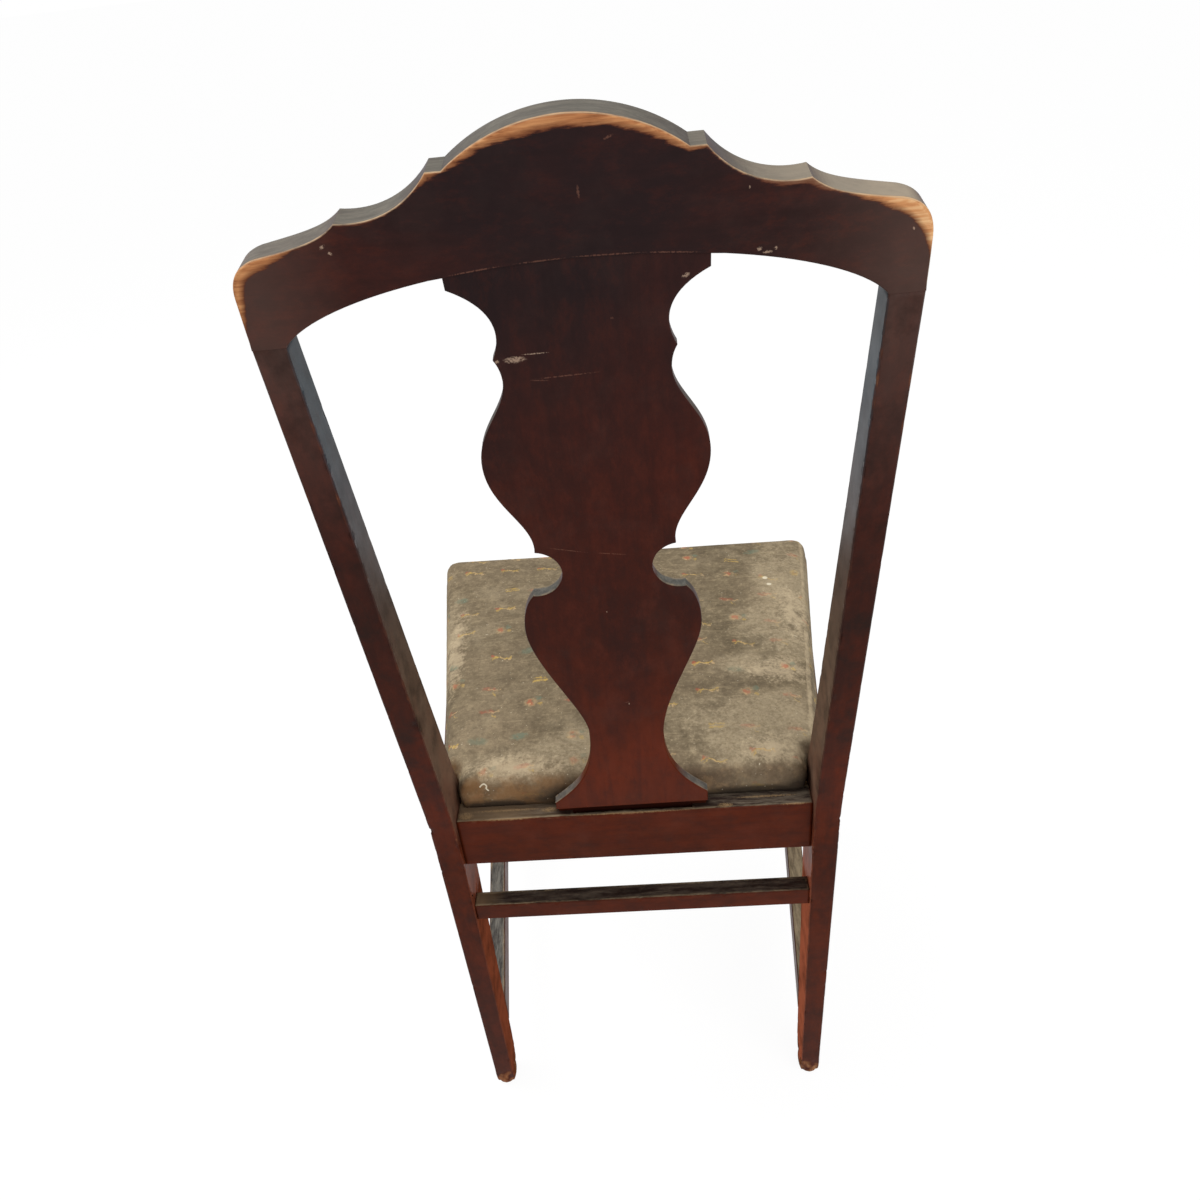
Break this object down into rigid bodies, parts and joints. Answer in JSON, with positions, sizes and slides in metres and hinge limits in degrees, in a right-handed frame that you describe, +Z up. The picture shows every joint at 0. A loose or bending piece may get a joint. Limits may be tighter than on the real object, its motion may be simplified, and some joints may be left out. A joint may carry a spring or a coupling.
{
  "type": "dining chair",
  "caption": "Dark wooden side chair in the Queen Anne style: arched crest, vase-shaped splat, raked back posts, cabriole front legs, low side stretchers and a padded seat.",
  "frame": {"origin": "on the floor, under the middle of the chair's overall box", "axes": "+Z up, -Y the way the sitter faces, +X to the sitter's left"},
  "size_m": [0.476, 0.5318, 1.0283],
  "materials": {
    "dark_mahogany": "old dark red-brown stain and varnish, dull satin, rubbed through to bare wood at the crest's edge, the shoulders and the feet",
    "plain_beech": "bare planed beech, unfinished",
    "screw_steel": "plain steel, dull",
    "seat_plywood": "bare board",
    "hair_padding": "stuffing under the cover",
    "printed_cotton": "worn grey-olive cotton with small faded sprigs, dusty and stained"
  },
  "bodies": {
    "root": {"rear_post_left": "dark_mahogany", "rear_post_right": "dark_mahogany", "crest_rail": "dark_mahogany", "splat": "dark_mahogany", "rear_seat_rail": "dark_mahogany", "front_seat_rail": "dark_mahogany", "side_seat_rail_left": "dark_mahogany", "side_seat_rail_right": "dark_mahogany", "front_leg_left": "dark_mahogany", "front_leg_right": "dark_mahogany", "rear_stretcher": "dark_mahogany", "side_stretcher_left": "dark_mahogany", "side_stretcher_right": "dark_mahogany", "corner_block_rear_left": "plain_beech", "corner_block_rear_right": "plain_beech", "corner_block_front_left": "plain_beech", "corner_block_front_right": "plain_beech", "rear_rail_dowel_left_lower": "plain_beech", "rear_rail_dowel_left_upper": "plain_beech", "rear_rail_dowel_right_lower": "plain_beech", "rear_rail_dowel_right_upper": "plain_beech", "side_rail_rear_dowel_left_lower": "plain_beech", "side_rail_rear_dowel_left_upper": "plain_beech", "side_rail_rear_dowel_right_lower": "plain_beech", "side_rail_rear_dowel_right_upper": "plain_beech", "side_rail_front_dowel_left_lower": "plain_beech", "side_rail_front_dowel_left_upper": "plain_beech", "side_rail_front_dowel_right_lower": "plain_beech", "side_rail_front_dowel_right_upper": "plain_beech", "front_rail_dowel_left_lower": "plain_beech", "front_rail_dowel_left_upper": "plain_beech", "front_rail_dowel_right_lower": "plain_beech", "front_rail_dowel_right_upper": "plain_beech", "crest_dowel_left": "plain_beech", "crest_dowel_right": "plain_beech", "block_screw_rear_left_back": "screw_steel", "block_screw_rear_left_side": "screw_steel", "block_screw_rear_right_back": "screw_steel", "block_screw_rear_right_side": "screw_steel", "block_screw_front_left_front": "screw_steel", "block_screw_front_left_side": "screw_steel", "block_screw_front_right_front": "screw_steel", "block_screw_front_right_side": "screw_steel", "seat_screw_rear_left": "screw_steel", "seat_screw_rear_right": "screw_steel", "seat_screw_front_left": "screw_steel", "seat_screw_front_right": "screw_steel", "seat_board": "seat_plywood", "seat_padding": "hair_padding", "seat_cover": "printed_cotton"}
  },
  "joints": []
}
